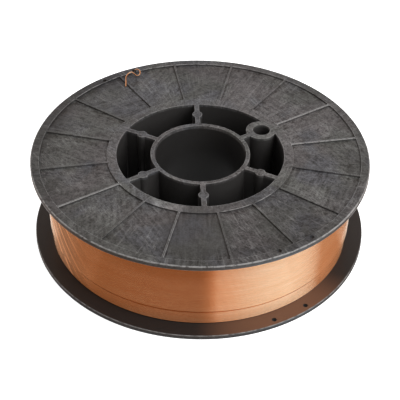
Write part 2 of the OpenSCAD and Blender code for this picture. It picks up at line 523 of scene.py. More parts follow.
@dataclass(frozen=True)
class MouldedPlastic(Finish):
    """Black plastic: smooth where the wire and the spindle go, scuffed on both faces.

    Args:
        dark: Colour of the untouched plastic.
        scuffed: Colour of the rubbed faces.
        pale: Colour of scratches, of wear on edges, and of painted edge highlights.
        casts: Three faint casts that drift over the faces.
        smooth_rough: Roughness of the untouched plastic.
        scuffed_rough: Roughness of the faces.
        face_depth: How far in from each end a surface counts as the face, in mm.
        rim_ring_r: Inner radius of the raised ring at the rim, in mm.
        steps: Share of the scuffing that the steps on the faces have.
        height: Height of the spool, in mm.
        rim_r: Radius of the flanges, in mm.
        rubbed_at: Middle of a place that rubbing has left smooth, in mm.
        rubbed_r: Radius of that place, in mm.
        darker_patch_at: Middle of a wider place on the faces that is made darker, in mm.
        darker_patch_r: Radius of that place, in mm.
        web_boss_at: Distance of the web bosses from the axis, in mm.
        mark_r: Radius of the round mark of the ejector pin on each boss, in mm.
        polished_at: Middle of a paler place on the ring round the hub, in mm.
        polished_r: Radius of that place, in mm.
        hub_ring_r: Outer radius of that ring, in mm.
        hub_r: Inner radius of the barrel, in mm.
        tube_r: Outer radius of the bore's tube, in mm.
        copper_reflection: Colour of the painted reflection of the winding on the flanges'
            inner faces.
        copper_reflection_at: Angle round the axis at which the painted reflection is
            strongest, in degrees.
        dark_rim_at: Angle round the axis at which the rim is made darkest, in degrees.
    """

    dark: Colour = (0.0180, 0.0170, 0.0165)
    scuffed: Colour = (0.0500, 0.0497, 0.0500)
    pale: Colour = (0.30, 0.295, 0.29)
    casts: tuple[Colour, Colour, Colour] = (
        (0.062, 0.055, 0.055), (0.053, 0.054, 0.049), (0.047, 0.048, 0.055))
    smooth_rough: float = 0.34
    scuffed_rough: float = 0.55
    face_depth: float = 1.6
    rim_ring_r: float = 94.8
    steps: float = 0.75
    height: float = 55.0
    rim_r: float = 100.0
    rubbed_at: Point = (-42.0, -58.0)
    rubbed_r: float = 19.0
    darker_patch_at: Point = (-20.0, -74.0)
    darker_patch_r: float = 38.0
    web_boss_at: float = 39.3
    mark_r: float = 1.9
    polished_at: Point = (-42.0, -31.5)
    polished_r: float = 9.0
    hub_ring_r: float = 55.3
    hub_r: float = 49.5
    tube_r: float = 29.45
    copper_reflection: Colour = (0.155, 0.076, 0.046)
    copper_reflection_at: float = -93.0
    dark_rim_at: float = 131.7

    def towards(self, nodes: Nodes, where: bpy.types.NodeSocket, degrees: float,
                narrow: float, wide: float) -> bpy.types.NodeSocket:
        """One towards an angle round the axis, fading to zero at the wide angle from it."""
        parts = nodes.add("ShaderNodeSeparateXYZ", {0: where}).outputs
        outward = nodes.add("ShaderNodeVectorMath", {0: nodes.combine(parts[0], parts[1], 0.0)},
                            operation="NORMALIZE").outputs[0]
        lean = nodes.add("ShaderNodeVectorMath", {0: outward, 1: (*polar(1, degrees), 0.0)},
                         operation="DOT_PRODUCT").outputs["Value"]
        return nodes.ramp(lean, math.cos(math.radians(wide)), math.cos(math.radians(narrow)))

    def face_mask(self, nodes: Nodes, where: bpy.types.NodeSocket) -> bpy.types.NodeSocket:
        """One on the level surfaces of both faces, less on their steps, zero elsewhere."""
        parts = nodes.add("ShaderNodeSeparateXYZ", {0: where}).outputs
        middle = self.height / 2 * MM
        away = nodes.math("ABSOLUTE", nodes.math("SUBTRACT", parts[2], middle))
        end = nodes.ramp(away, middle - (self.face_depth + 0.3) * MM,
                         middle - self.face_depth * MM)
        level = self.level_mask(nodes)
        return nodes.math("MULTIPLY", end, nodes.ramp(level, 0.0, 1.0, self.steps, 1.0))

    def level_mask(self, nodes: Nodes) -> bpy.types.NodeSocket:
        """One on level surfaces, zero on walls."""
        facing = nodes.add("ShaderNodeTexCoord").outputs["Normal"]
        lean = nodes.math("ABSOLUTE",
                          nodes.add("ShaderNodeSeparateXYZ", {0: facing}).outputs[2])
        return nodes.ramp(lean, 0.6, 0.95)

    def radius(self, nodes: Nodes, where: bpy.types.NodeSocket) -> bpy.types.NodeSocket:
        """Distance from the spool's axis."""
        parts = nodes.add("ShaderNodeSeparateXYZ", {0: where}).outputs
        return nodes.add("ShaderNodeVectorMath", {0: nodes.combine(parts[0], parts[1], 0.0)},
                         operation="LENGTH").outputs["Value"]

    def rim_mask(self, nodes: Nodes, where: bpy.types.NodeSocket) -> bpy.types.NodeSocket:
        """One on the outer walls of the flanges."""
        return nodes.ramp(self.radius(nodes, where), (self.rim_r - 0.7) * MM,
                          (self.rim_r - 0.2) * MM)

    def ejector_marks(self, nodes: Nodes, where: bpy.types.NodeSocket) -> bpy.types.NodeSocket:
        """One on a thin ring in the middle of each web boss."""
        parts = nodes.add("ShaderNodeSeparateXYZ", {0: where}).outputs
        heading = nodes.math("ARCTAN2", parts[1], parts[0])
        web = nodes.math("ROUND", nodes.math("DIVIDE", heading, math.pi / 3))
        turn = nodes.math("MULTIPLY", web, -math.pi / 3)
        folded = nodes.add("ShaderNodeVectorRotate", {
            "Vector": nodes.combine(parts[0], parts[1], 0.0), "Angle": turn},
            rotation_type="Z_AXIS").outputs[0]
        away = nodes.add("ShaderNodeVectorMath", {0: folded, 1: (self.web_boss_at * MM, 0, 0)},
                         operation="DISTANCE").outputs["Value"]
        off = nodes.math("ABSOLUTE", nodes.math("SUBTRACT", away, self.mark_r * MM))
        return nodes.ramp(off, 0.0, 0.35 * MM, 1.0, 0.0)

    def place_mask(self, nodes: Nodes, where: bpy.types.NodeSocket, centre: Point,
                   radius: float, soft: float) -> bpy.types.NodeSocket:
        """Marks a place on the faces, with an uneven border.

        Args:
            nodes: The tree.
            where: Object coordinates.
            centre: Middle of the place, in mm.
            radius: Its radius, in mm.
            soft: Width of its border, in mm.

        Returns:
            One inside and zero outside.
        """
        parts = nodes.add("ShaderNodeSeparateXYZ", {0: where}).outputs
        flat = nodes.combine(parts[0], parts[1], 0.0)
        away = nodes.add("ShaderNodeVectorMath", {0: flat, 1: (centre[0] * MM, centre[1] * MM,
                         0.0)}, operation="DISTANCE").outputs["Value"]
        uneven = nodes.math("MULTIPLY", nodes.noise(where, 70.0, 3), 0.012)
        return nodes.ramp(nodes.math("ADD", away, uneven), (radius + 2) * MM,
                          (radius + 2 + soft) * MM, 1.0, 0.0)

    def material(self, effects: "Effects") -> bpy.types.Material:
        """Builds the material from the shared effects."""
        nodes, material, shader, where = self.start()
        face, rim = self.face_mask(nodes, where), self.rim_mask(nodes, where)
        rubbed = self.place_mask(nodes, where, self.rubbed_at, self.rubbed_r, 11.0)
        darker_patch = self.place_mask(nodes, where, self.darker_patch_at, self.darker_patch_r, 24.0)
        polished = self.place_mask(nodes, where, self.polished_at, self.polished_r, 9.0)
        on_ring = nodes.ramp(self.radius(nodes, where), (self.hub_ring_r - 0.1) * MM,
                             self.hub_ring_r * MM, 1.0, 0.0)
        polished = nodes.math("MULTIPLY", polished, on_ring)
        grained = nodes.math("MULTIPLY", face, nodes.math("SUBTRACT", 1.0, nodes.math(
            "MULTIPLY", rubbed, 0.5)))

        mottle = nodes.group(effects.mottle, {"Vector": where, "Patch Scale": 280.0,
                             "Grain Scale": 1050.0, "Grain Share": 0.62}).outputs
        brush = nodes.group(effects.brushing, {"Vector": where}).outputs
        radial = nodes.group(effects.streaks, {"Vector": where, "Round": 60.0, "Out": 55.0,
                             "Up": 0.0, "Detail": 5.0, "Low": 0.52, "High": 0.80}).outputs
        scratch = nodes.group(effects.scratches, {"Vector": where, "Scale": 70.0,
                              "Density": 0.45}).outputs[0]
        # Pale edges: wear, and painted highlights on the edges that the spool lists.
        wear_and_highlight = nodes.add("ShaderNodeAttribute", attribute_name="wear_and_highlight").outputs["Fac"]
        wear_and_highlight_mask = nodes.group(effects.edge_wear_and_highlight, {"Vector": where, "Wear And Highlight": wear_and_highlight,
                           "Scale": 420.0}).outputs[0]

        cast = nodes.mix(nodes.ramp(nodes.noise(where, 22.0, 2), 0.40, 0.60), self.casts[0],
                         self.casts[1])
        cast = nodes.mix(nodes.ramp(nodes.noise(where, 31.0, 2, 0.5, 0.8), 0.45, 0.65), cast,
                         self.casts[2])
        cast = nodes.mix(0.65, self.scuffed, cast)
        grain = nodes.math("ADD", nodes.math("MULTIPLY", mottle["Tone"], 0.7),
                           nodes.math("MULTIPLY", brush["Stroke"], 0.3))
        tone = nodes.ramp(grain, 0.36, 0.64, 0.16, 1.84)
        calm = nodes.add("ShaderNodeMix", {0: grained, 2: 0.92, 3: tone},
                         data_type="FLOAT").outputs[0]
        panel = nodes.math("ADD", nodes.math("MULTIPLY", brush["Tone"], 0.22), 0.88)
        tone = nodes.math("MULTIPLY", calm, panel)
        tone = nodes.math("MULTIPLY", tone, nodes.ramp(darker_patch, 0.0, 1.0, 1.03, 0.76))
        tone = nodes.math("MULTIPLY", tone, nodes.ramp(polished, 0.0, 1.0, 1.0, 1.9))
        radius = self.radius(nodes, where)
        edge = nodes.ramp(radius, (self.rim_ring_r - 9) * MM, (self.rim_ring_r + 0.5) * MM)
        tone = nodes.math("MULTIPLY", tone, nodes.ramp(edge, 0.2, 1.0, 1.0, 1.02))
        outer = nodes.ramp(radius, (self.rim_ring_r - 17) * MM, (self.rim_ring_r - 5) * MM)
        dark_rim = nodes.math("MULTIPLY", edge, self.towards(nodes, where, self.dark_rim_at, 20, 65))
        tone = nodes.math("MULTIPLY", tone, nodes.ramp(outer, 0.0, 1.0, 1.0, 0.80))
        tone = nodes.math("MULTIPLY", tone, nodes.ramp(dark_rim, 0.0, 1.0, 1.0, 0.60))
        tone = nodes.math("MULTIPLY", tone, nodes.ramp(on_ring, 0.0, 1.0, 1.0, 1.12))
        marked = self.ejector_marks(nodes, where)
        tone = nodes.math("MULTIPLY", tone, nodes.ramp(marked, 0.0, 1.0, 1.0, 0.45))
        toned = nodes.mix(1.0, cast, nodes.combine(tone, tone, tone), "MULTIPLY")
        marks = nodes.math("SUBTRACT", 1.0, rubbed)
        streak = nodes.math("MULTIPLY", nodes.math("MULTIPLY", radial["Mask"], 0.28), marks)
        streaked = nodes.mix(streak, toned, self.pale)
        scratch = nodes.math("MULTIPLY", nodes.math("MULTIPLY", scratch, 0.22), marks)
        lined = nodes.mix(scratch, streaked, self.pale)
        plain = nodes.mix(nodes.ramp(mottle["Tone"], 0.3, 0.7), self.dark,
                          tuple(c * 1.15 for c in self.dark))
        inside = nodes.math("MULTIPLY", nodes.ramp(radius, (self.tube_r - 1) * MM,
                                                   self.tube_r * MM),
                            nodes.ramp(radius, self.hub_r * MM, (self.hub_r + 1) * MM, 1.0, 0.0))
        deep = nodes.ramp(inside, 0.0, 1.0, 1.0, 1.7)
        plain = nodes.mix(1.0, plain, nodes.combine(deep, deep, deep), "MULTIPLY")
        # Painted reflection: towards the front right, the flanges' inner faces take a copper tint where they mirror
        # the winding.
        between = nodes.ramp(radius, (self.hub_r + 1) * MM, (self.hub_r + 2) * MM)
        between = nodes.math("MULTIPLY", between, self.level_mask(nodes))
        reflected_copper = nodes.math("MULTIPLY", between,
                           self.towards(nodes, where, self.copper_reflection_at, 2, 32))
        plain = nodes.mix(reflected_copper, plain, self.copper_reflection)
        plain = nodes.mix(nodes.math("MULTIPLY", rim, 0.7), plain, self.scuffed)
        colour = nodes.mix(face, plain, lined)
        colour = nodes.mix(nodes.math("MULTIPLY", wear_and_highlight_mask, 0.7), colour, self.pale)
        rough = nodes.add("ShaderNodeMix", {0: face, 2: self.smooth_rough,
                          3: self.scuffed_rough}, data_type="FLOAT").outputs[0]
        uneven = nodes.ramp(grain, 0.3, 0.7, -0.08, 0.08)
        spread = nodes.math("ADD", nodes.math("MULTIPLY", face, 0.85), 0.15)
        rough = nodes.math("ADD", rough, nodes.math("MULTIPLY", uneven, spread))
        bump = nodes.math("ADD", mottle["Height"], brush["Stroke"])
        strength = nodes.math("ADD", nodes.math("MULTIPLY", grained, 0.35), 0.006)
        normal = nodes.add("ShaderNodeBump", {"Height": bump, "Strength": strength,
                           "Distance": 0.00035}).outputs[0]
        for socket, value in (("Base Color", colour), ("Roughness", rough), ("Normal", normal)):
            nodes.tree.links.new(value, shader.inputs[socket])
        shader.inputs["IOR"].default_value = 1.5
        return material


@dataclass(frozen=True)
class CopperedWire(Finish):
    """Drawn steel wire with a thin bright copper coat.

    Args:
        bright: Colour of clean copper.
        deep: Colour where the coat is thicker or has darkened.
        rough: Roughness along the wire.
        pitch: Distance from turn to turn, in mm.
        crossed: Angle from -X, and half width, of a place where dark lines are painted as the
            shade in the grooves of turns that lie aslant.
        slant: How far those painted lines run down per radian, in m.
    """

    bright: Colour = (0.93, 0.60, 0.38)
    deep: Colour = (0.90, 0.53, 0.30)
    rough: float = 0.09
    pitch: float = 0.8
    crossed: tuple[float, float] = (-3.0, 19.0)
    slant: float = 0.08

    def material(self, effects: "Effects") -> bpy.types.Material:
        """Builds the material from the shared effects."""
        nodes, material, shader, where = self.start()
        runs = nodes.group(effects.streaks, {"Vector": where, "Round": 5.0, "Out": 0.0,
                           "Up": 1.2 / (self.pitch * MM), "Detail": 2.0, "Low": 0.35,
                           "High": 0.68}).outputs
        broad = nodes.group(effects.streaks, {"Vector": where, "Round": 2.0, "Out": 0.0,
                            "Up": 160.0, "Detail": 3.0, "Low": 0.35, "High": 0.65}).outputs
        mottle = nodes.group(effects.mottle, {"Vector": where, "Patch Scale": 140.0,
                             "Grain Scale": 2500.0, "Grain Share": 0.4}).outputs
        tone = nodes.math("ADD", nodes.math("MULTIPLY", runs["Mask"], 0.5),
                          nodes.math("MULTIPLY", broad["Mask"], 0.5))
        colour = nodes.mix(tone, self.deep, self.bright)
        # Painted shade: near the crossed place, dark slanting lines stand for the shaded grooves between turns that
        # lie aslant.
        parts = nodes.add("ShaderNodeSeparateXYZ", {0: where}).outputs
        heading = nodes.math("ARCTAN2", nodes.math("MULTIPLY", parts[1], -1.0),
                             nodes.math("MULTIPLY", parts[0], -1.0))
        away = nodes.math("ABSOLUTE", nodes.math("SUBTRACT", heading,
                                                 math.radians(self.crossed[0])))
        near = nodes.ramp(away, 0.0, math.radians(self.crossed[1]), 1.0, 0.0)
        sloping = nodes.math("ADD", parts[2], nodes.math("MULTIPLY", heading, self.slant))
        lines = nodes.noise(nodes.combine(nodes.math("MULTIPLY", sloping, 230.0), 0.0, 0.0),
                            1.0, 2)
        groove_shade = nodes.math("MULTIPLY", nodes.ramp(lines, 0.47, 0.62, 1.0, 0.0), near)
        light = nodes.math("SUBTRACT", 1.0, nodes.math("MULTIPLY", groove_shade, 0.48))
        colour = nodes.mix(1.0, colour, nodes.combine(light, light, light), "MULTIPLY")
        rough = nodes.math("ADD", nodes.ramp(runs["Value"], 0.3, 0.7, -0.03, 0.04),
                           nodes.ramp(mottle["Tone"], 0.3, 0.7, self.rough - 0.02,
                                      self.rough + 0.03))
        normal = nodes.add("ShaderNodeBump", {"Height": mottle["Height"], "Strength": 0.03,
                           "Distance": 0.0001}).outputs[0]
        for socket, value in (("Base Color", colour), ("Roughness", rough), ("Normal", normal)):
            nodes.tree.links.new(value, shader.inputs[socket])
        shader.inputs["Metallic"].default_value = 1.0
        return material


@dataclass(frozen=True)
class StudioPaper(Finish):
    """Seamless white paper under the spool, lit to white for the camera.

    Args:
        paper: Colour of the paper.
        lift: Light that the paper sends to the camera, to mirrors and through glass.
    """

    paper: Colour = (0.92, 0.92, 0.92)
    lift: float = 0.72

    def material(self, effects: "Effects") -> bpy.types.Material:
        """Builds the material; the shadow stays, as the lift is below white."""
        nodes, material, shader, where = self.start()
        mottle = nodes.group(effects.mottle, {"Vector": where, "Patch Scale": 6.0,
                             "Grain Scale": 500.0, "Grain Share": 0.3}).outputs
        colour = nodes.mix(nodes.ramp(mottle["Tone"], 0.3, 0.7), self.paper,
                           tuple(c * 0.98 for c in self.paper))
        seen = seen_share(nodes)
        nodes.tree.links.new(colour, shader.inputs["Base Color"])
        shader.inputs["Roughness"].default_value = 0.8
        shader.inputs["Specular IOR Level"].default_value = 0.1
        shader.inputs["Emission Color"].default_value = (1, 1, 1, 1)
        nodes.tree.links.new(nodes.math("MULTIPLY", seen, self.lift),
                             shader.inputs["Emission Strength"])
        return material


@dataclass(frozen=True)
class TentCloth(Finish):
    """Cloth of the light tent, which glows as brightly as each place of it is lit."""

    weave: float = 260.0

    def material(self, effects: "Effects") -> bpy.types.Material:
        """Builds the material."""
        nodes, material, shader, where = self.start()
        glow = nodes.add("ShaderNodeAttribute", attribute_name="glow").outputs["Color"]
        mottle = nodes.group(effects.mottle, {"Vector": where, "Patch Scale": 2.0,
                             "Grain Scale": self.weave}).outputs
        tone = nodes.ramp(mottle["Tone"], 0.3, 0.7, 0.97, 1.03)
        lit = nodes.mix(1.0, glow, nodes.combine(tone, tone, tone), "MULTIPLY")
        nodes.tree.links.new(lit, shader.inputs["Emission Color"])
        shader.inputs["Base Color"].default_value = (0, 0, 0, 1)
        shader.inputs["Specular IOR Level"].default_value = 0.0
        shader.inputs["Emission Strength"].default_value = 1.0
        return material


def seen_share(nodes: Nodes) -> bpy.types.NodeSocket:
    """One for camera, glossy and transmission rays, and zero for the rest."""
    path = nodes.add("ShaderNodeLightPath").outputs
    either = nodes.math("MAXIMUM", path["Is Camera Ray"], path["Is Glossy Ray"])
    return nodes.math("MAXIMUM", either, path["Is Transmission Ray"])


@dataclass
class Effects:
    """The shared effects, each built once."""

    mottle: bpy.types.NodeTree = field(default_factory=lambda: Mottle().tree)
    streaks: bpy.types.NodeTree = field(default_factory=lambda: Streaks().tree)
    brushing: bpy.types.NodeTree = field(default_factory=lambda: Brushing().tree)
    scratches: bpy.types.NodeTree = field(default_factory=lambda: Scratches().tree)
    edge_wear_and_highlight: bpy.types.NodeTree = field(default_factory=lambda: EdgeWearAndHighlight().tree)


# --- Spool ----------------------------------------------------------------------------------


@dataclass
class MouldedSpool:
    """The spool: two ribbed flanges, the barrel, and the webbed hub with its bore.

    Sizes are in mm and are the part's own.
    """

    flange_r: float = 100.0
    height: float = 55.0
    flange_t: float = 3.1
    corner_r: float = 0.8
    inner_corner_r: float = 0.5
    barrel_r: float = 52.2
    hub_r: float = 49.5
    barrel_fillet: float = 1.0
    rim_ring_r: float = 94.8
    hub_ring_r: float = 55.3
    panel_depth: float = 1.1
    rib_count: int = 16
    rib_w: float = 1.2
    bore_r: float = 26.5
    bore_lead: float = 0.7
    bore_lead_h: float = 2.0
    tube_r: float = 29.45
    web_count: int = 6
    web_t: float = 3.0
    web_boss_r: float = 3.05
    web_boss_at: float = 39.3
    drive_at: float = 44.0
    drive_r: float = 5.15
    drive_bevel: float = 0.2
    drive_boss_r: float = 8.95
    drive_boss_at: float = 43.5
    tie_r: float = 1.4
    tie_at: float = 96.3
    tie_half_angle: float = 6.5
    tie_edge: float = 0.04
    tie_reach: float = 2.6
    edge_r: float = 0.27
    rim_points: int = 288
    # Painted highlights: the listed ribs, and the hub and rim edges within these angles, are painted pale where
    # light catches them; the other edges get only a low level of wear.
    highlit_ribs: tuple[Point, ...] = ((0, 2.4), (8, 2.4), (10, 0.8), (15, 2.4))
    hub_wear_and_highlight: tuple[float, float] = (250.0, 284.0)
    rim_wear_and_highlight: tuple[float, float] = (40.0, 112.0)
    rubbed_mouths: float = 0.5

    def panel(self, number: int) -> list[Point]:
        """Outline of one recessed panel.

        Args:
            number: Which panel, from the drive hole's direction on.

        Returns:
            The outline, anticlockwise, with its corners eased.
        """
        pitch, half = 360 / self.rib_count, self.rib_w / 2
        first, last = number * pitch, (number + 1) * pitch
        rim_lean = math.degrees(math.asin(half / self.rim_ring_r))
        hub_lean = math.degrees(math.asin(half / self.hub_ring_r))
        outline = arc((0, 0), self.rim_ring_r, first + rim_lean, last - rim_lean)
        outline += arc((0, 0), self.hub_ring_r, last - hub_lean, first + hub_lean)
        return eased(outline, 0.6, True)

    def tightness(self, point: Point) -> float:
        """Share of the edge's rounding that fits between a panel and the tie holes."""
        heading = math.degrees(math.atan2(point[1], point[0])) % 180
        near = abs(abs(heading - 90) - self.tie_half_angle) < self.tie_reach
        return 0.09 if near and math.hypot(*point) > self.rim_ring_r - 1 else 1.0

    def wear_and_highlight_at(self, point: Point) -> float:
        """How pale a place on a panel's edge is made, from 0 to about 1.

        Edges get a low level of wear; the listed ribs and stretches of the hub and rim edges
        get painted highlights where light catches them.
        """
        pitch = 360 / self.rib_count
        heading = math.degrees(math.atan2(point[1], point[0])) % 360
        rib = round(heading / pitch)
        off = math.radians(abs(heading - rib * pitch)) * math.hypot(*point)
        if off < self.rib_w:
            return dict(self.highlit_ribs).get(rib % self.rib_count, 0.22)
        if math.hypot(*point) > (self.rim_ring_r + self.hub_ring_r) / 2:
            low, high = self.rim_wear_and_highlight
            return 1.1 if low < heading < high else 0.45
        low, high = self.hub_wear_and_highlight
        return 1.0 if low < heading < high else 0.2

    def web_side(self, number: int, side: int) -> list[Point]:
        """Side of a web with half of its boss, from the tube out to the barrel.

        Args:
            number: Which web; the first carries the drive hole.
            side: 1 for its anticlockwise side, -1 for the other.

        Returns:
            The points, from the inside out.
        """
        half = self.web_t / 2
        centre, radius = ((self.drive_boss_at, self.drive_boss_r) if number == 0
                          else (self.web_boss_at, self.web_boss_r))
        start = 180 - math.degrees(math.asin(half / radius))
        inner = math.sqrt(self.tube_r ** 2 - half ** 2)
        outer = math.sqrt(self.hub_r ** 2 - half ** 2)
        line = [(inner, half)]
        if number == 0:
            x = (self.hub_r ** 2 + centre ** 2 - radius ** 2) / (2 * centre)
            end = math.degrees(math.acos((x - centre) / radius))
            line += arc((centre, 0), radius, start, end, 6)
        else:
            line += arc((centre, 0), radius, start, 180 - start, 12)
            line.append((outer, half))
        return [turned((x, side * y), number * 360 / self.web_count) for x, y in line]

    def window(self, number: int) -> list[Point]:
        """Outline of the opening between one web and the next, anticlockwise."""
        near = self.web_side(number, 1)
        far = self.web_side((number + 1) % self.web_count, -1)
        heading = [math.degrees(math.atan2(p[1], p[0])) for p in (near[0], far[0], far[-1],
                                                                  near[-1])]
        low, high, out_high, out_low = heading
        high, out_high = (a + 360 if a < low else a for a in (high, out_high))
        out_low = out_low + 360 if out_low < low - 180 else out_low
        outline = near[::-1] + arc((0, 0), self.tube_r, low, high, 3)[1:-1]
        outline += far + arc((0, 0), self.hub_r, out_high, out_low, 2)[1:-1]
        return eased(outline[::-1], 0.6, True)

    def tie_centres(self) -> list[Point]:
        """Centres of the tie holes."""
        return [polar(self.tie_at, side + half * self.tie_half_angle)
                for side in (90, 270) for half in (-1, 1)]

    def flange(self, skin: Skin, side: Side, windows: list[list[Point]]) -> None:
        """Adds one flange and its faces.

        Args:
            skin: Where the faces go.
            side: Which end of the spool.
            windows: Outlines of the hub's openings.
        """
        base = 0.0 if side is Side.LOWER else self.height

        def level(depth: float) -> float:
            """Height at a depth below the flange's outer face."""
            return base + side.value * depth

        def lathe(profile: list[Point], wear_and_highlight: list[float]) -> None:
            """Turns a profile of radius and depth round the axis."""
            skin.wall([circle((0, 0), r, self.rim_points) for r, _ in profile],
                      [level(d) for _, d in profile], wear_and_highlight)

        rim = [(self.flange_r - self.corner_r - 0.3, 0.0)]
        rim += [(self.flange_r - self.corner_r + self.corner_r * math.sin(math.radians(a)),
                 self.corner_r - self.corner_r * math.cos(math.radians(a)))
                for a in range(0, 91, 15)]
        small = self.inner_corner_r
        rim += [(self.flange_r - small + small * math.cos(math.radians(a)),
                 self.flange_t - small + small * math.sin(math.radians(a)))
                for a in range(0, 91, 22)]
        rim.append((self.flange_r - small - 0.3, self.flange_t))
        # Pale lines on the rim's corners: partly wear, partly a painted highlight along the rim.
        lathe(rim, [0.0] + [1.6 * math.sin(math.pi * i / 6) for i in range(7)]
              + [1.2 * math.sin(math.pi * i / 4) for i in range(5)] + [0.0])

        fillet = self.barrel_fillet
        root = [(self.barrel_r + fillet + 0.3, self.flange_t)]
        root += [(self.barrel_r + fillet - fillet * math.sin(math.radians(a)),
                  self.flange_t + fillet - fillet * math.cos(math.radians(a)))
                 for a in range(0, 91, 30)]
        root.append((self.barrel_r, self.height / 2))
        lathe(root, [0.0] * len(root))

        ease = self.edge_r
        edge = eased([(ease * 2, 0.0), (0.0, 0.0), (0.0, self.panel_depth),
                      (-ease * 1.5, self.panel_depth)], ease, False)
        # Pale top of each panel edge: wear, and on some edges a painted highlight.
        top_wear_and_highlight = [1.0 if d < ease and a < ease * 1.2 else 0.0 for a, d in edge]
        standing_holes, floors = [], []
        for number in range(self.rib_count):
            loop = self.panel(number)
            tight = [self.tightness(p) for p in loop]
            skin.opening(loop, [(a, level(d)) for a, d in edge], top_wear_and_highlight,
                         [self.wear_and_highlight_at(p) for p in loop], tight)
            standing_holes.append(grown(loop, edge[0][0], tight))
            floors.append(grown(loop, edge[-1][0], tight))
        for loop in floors:
            skin.flat(level(self.panel_depth), loop, [])

        tie_rings = []
        for centre in self.tie_centres():
            loop = circle(centre, self.tie_r, 32)
            small = self.tie_edge
            line = eased([(small, 0.0), (0.0, 0.0), (0.0, self.flange_t), (small, self.flange_t)],
                         small, False)
            skin.opening(loop, [(a, level(d)) for a, d in line], [0.0] * len(line))
            tie_rings.append(grown(loop, small))
        standing_holes += tie_rings
        standing_holes += [grown(loop, ease * 2) for loop in windows]
        standing_holes.append(self.bore_loop(self.bore_lead + 0.3))
        standing_holes.append(self.drive_loop(self.drive_bevel + 0.3))
        skin.flat(level(0.0), circle((0, 0), rim[0][0], self.rim_points), standing_holes)
        skin.flat(level(self.flange_t), circle((0, 0), rim[-1][0], self.rim_points),
                  [circle((0, 0), root[0][0], self.rim_points), *tie_rings])

    def bore_loop(self, away: float) -> list[Point]:
        """Edge of the bore, moved outwards."""
        return grown(circle((0, 0), self.bore_r, 144), away)

    def drive_loop(self, away: float) -> list[Point]:
        """Edge of the drive hole, moved outwards."""
        return grown(circle((self.drive_at, 0), self.drive_r, 64), away)

    def through(self, skin: Skin, loop: list[Point], mouth: float, lead: float, lead_h: float,
                ease: float) -> None:
        """Adds the wall of an opening that runs from face to face.

        Args:
            skin: Where the faces go.
            loop: Outline of the opening.
            mouth: Distance outside the outline at which the wall meets the face.
            lead: How much the opening widens at both faces; 0 leaves it straight.
            lead_h: Depth over which it widens.
            ease: Rounding of the edges.
        """
        corners = [(mouth, 0.0), (lead, 0.0), (0.0, lead_h), (0.0, self.height / 2)]
        if lead == 0:
            corners.pop(2)
        half = eased(corners, ease, False)
        last = max(i for i, (_, z) in enumerate(half) if z < ease + 0.3)
        (a_0, z_0), (a_1, z_1) = half[last], half[last + 1]
        half.insert(last + 1, (a_0 + (a_1 - a_0) * 0.3 / (z_1 - z_0), z_0 + 0.3))
        profile = half + [(a, self.height - z) for a, z in half[-2::-1]]
        wear_and_highlight = [self.rubbed_mouths if min(z, self.height - z) <= z_0 and a < mouth - 0.05
                else 0.0 for a, z in profile]
        skin.opening(loop, profile, wear_and_highlight)

    def build(self, plastic: bpy.types.Material) -> bpy.types.Object:
        """Makes the spool.

        Args:
            plastic: Its material.

        Returns:
            The finished piece, which stands for the CAD node.
        """
        skin = Skin()
        windows = [self.window(k) for k in range(self.web_count)]
        for side in Side:
            self.flange(skin, side, windows)
        for loop in windows:
            self.through(skin, loop, self.edge_r * 2, 0.0, 0.0, self.edge_r)
        self.through(skin, self.bore_loop(0.0), self.bore_lead + 0.3, self.bore_lead,
                     self.bore_lead_h, 0.25)
        self.through(skin, self.drive_loop(0.0), self.drive_bevel + 0.3, self.drive_bevel,
                     self.drive_bevel, 0.15)
        piece = shown("moulded_spool", skin.mesh("moulded_spool"), plastic)
        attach(piece, BODY)
        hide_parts("spool")
        return piece


# --- Wire -----------------------------------------------------------------------------------


class ShapeTree:
    """A Geometry Nodes tree with named inputs."""

    def __init__(self, name: str, inputs: dict[str, str]) -> None:
        """Starts a tree.

        Args:
            name: Name of the tree.
            inputs: Name to socket type of each input after the geometry.
        """
        self.group = bpy.data.node_groups.new(name, "GeometryNodeTree")
        face = self.group.interface
        face.new_socket("Geometry", in_out="INPUT", socket_type="NodeSocketGeometry")
        for label, kind in inputs.items():
            face.new_socket(label, in_out="INPUT", socket_type=kind)
        face.new_socket("Geometry", in_out="OUTPUT", socket_type="NodeSocketGeometry")
        self.nodes = Nodes(self.group)
        self.given = self.nodes.add("NodeGroupInput").outputs

    def end(self, geometry: bpy.types.NodeSocket) -> None:
        """Closes the tree with Realize Instances and Set Material.

        Args:
            geometry: What the tree has made.
        """
        real = self.nodes.add("GeometryNodeRealizeInstances", {0: geometry}).outputs[0]
        coated = self.nodes.add("GeometryNodeSetMaterial", {"Geometry": real,
                                "Material": self.given["Material"]}).outputs[0]
        self.nodes.add("NodeGroupOutput", {0: coated})

    def grow(self, piece: bpy.types.Object, values: dict) -> None:
        """Runs the tree on a piece and keeps the result as its plain mesh.

        Args:
            piece: The object that holds the tree's geometry.
            values: Value of each named input.
        """
        live = piece.modifiers.new("grow", "NODES")
        live.node_group = self.group
        for item in self.group.interface.items_tree:
            if item.in_out == "INPUT" and item.name in values:
                live[item.identifier] = values[item.name]
        graph = bpy.context.evaluated_depsgraph_get()
        made = bpy.data.meshes.new_from_object(piece.evaluated_get(graph), depsgraph=graph)
        piece.modifiers.remove(live)
        old, piece.data = piece.data, made
        made.name = piece.name
        bpy.data.meshes.remove(old)


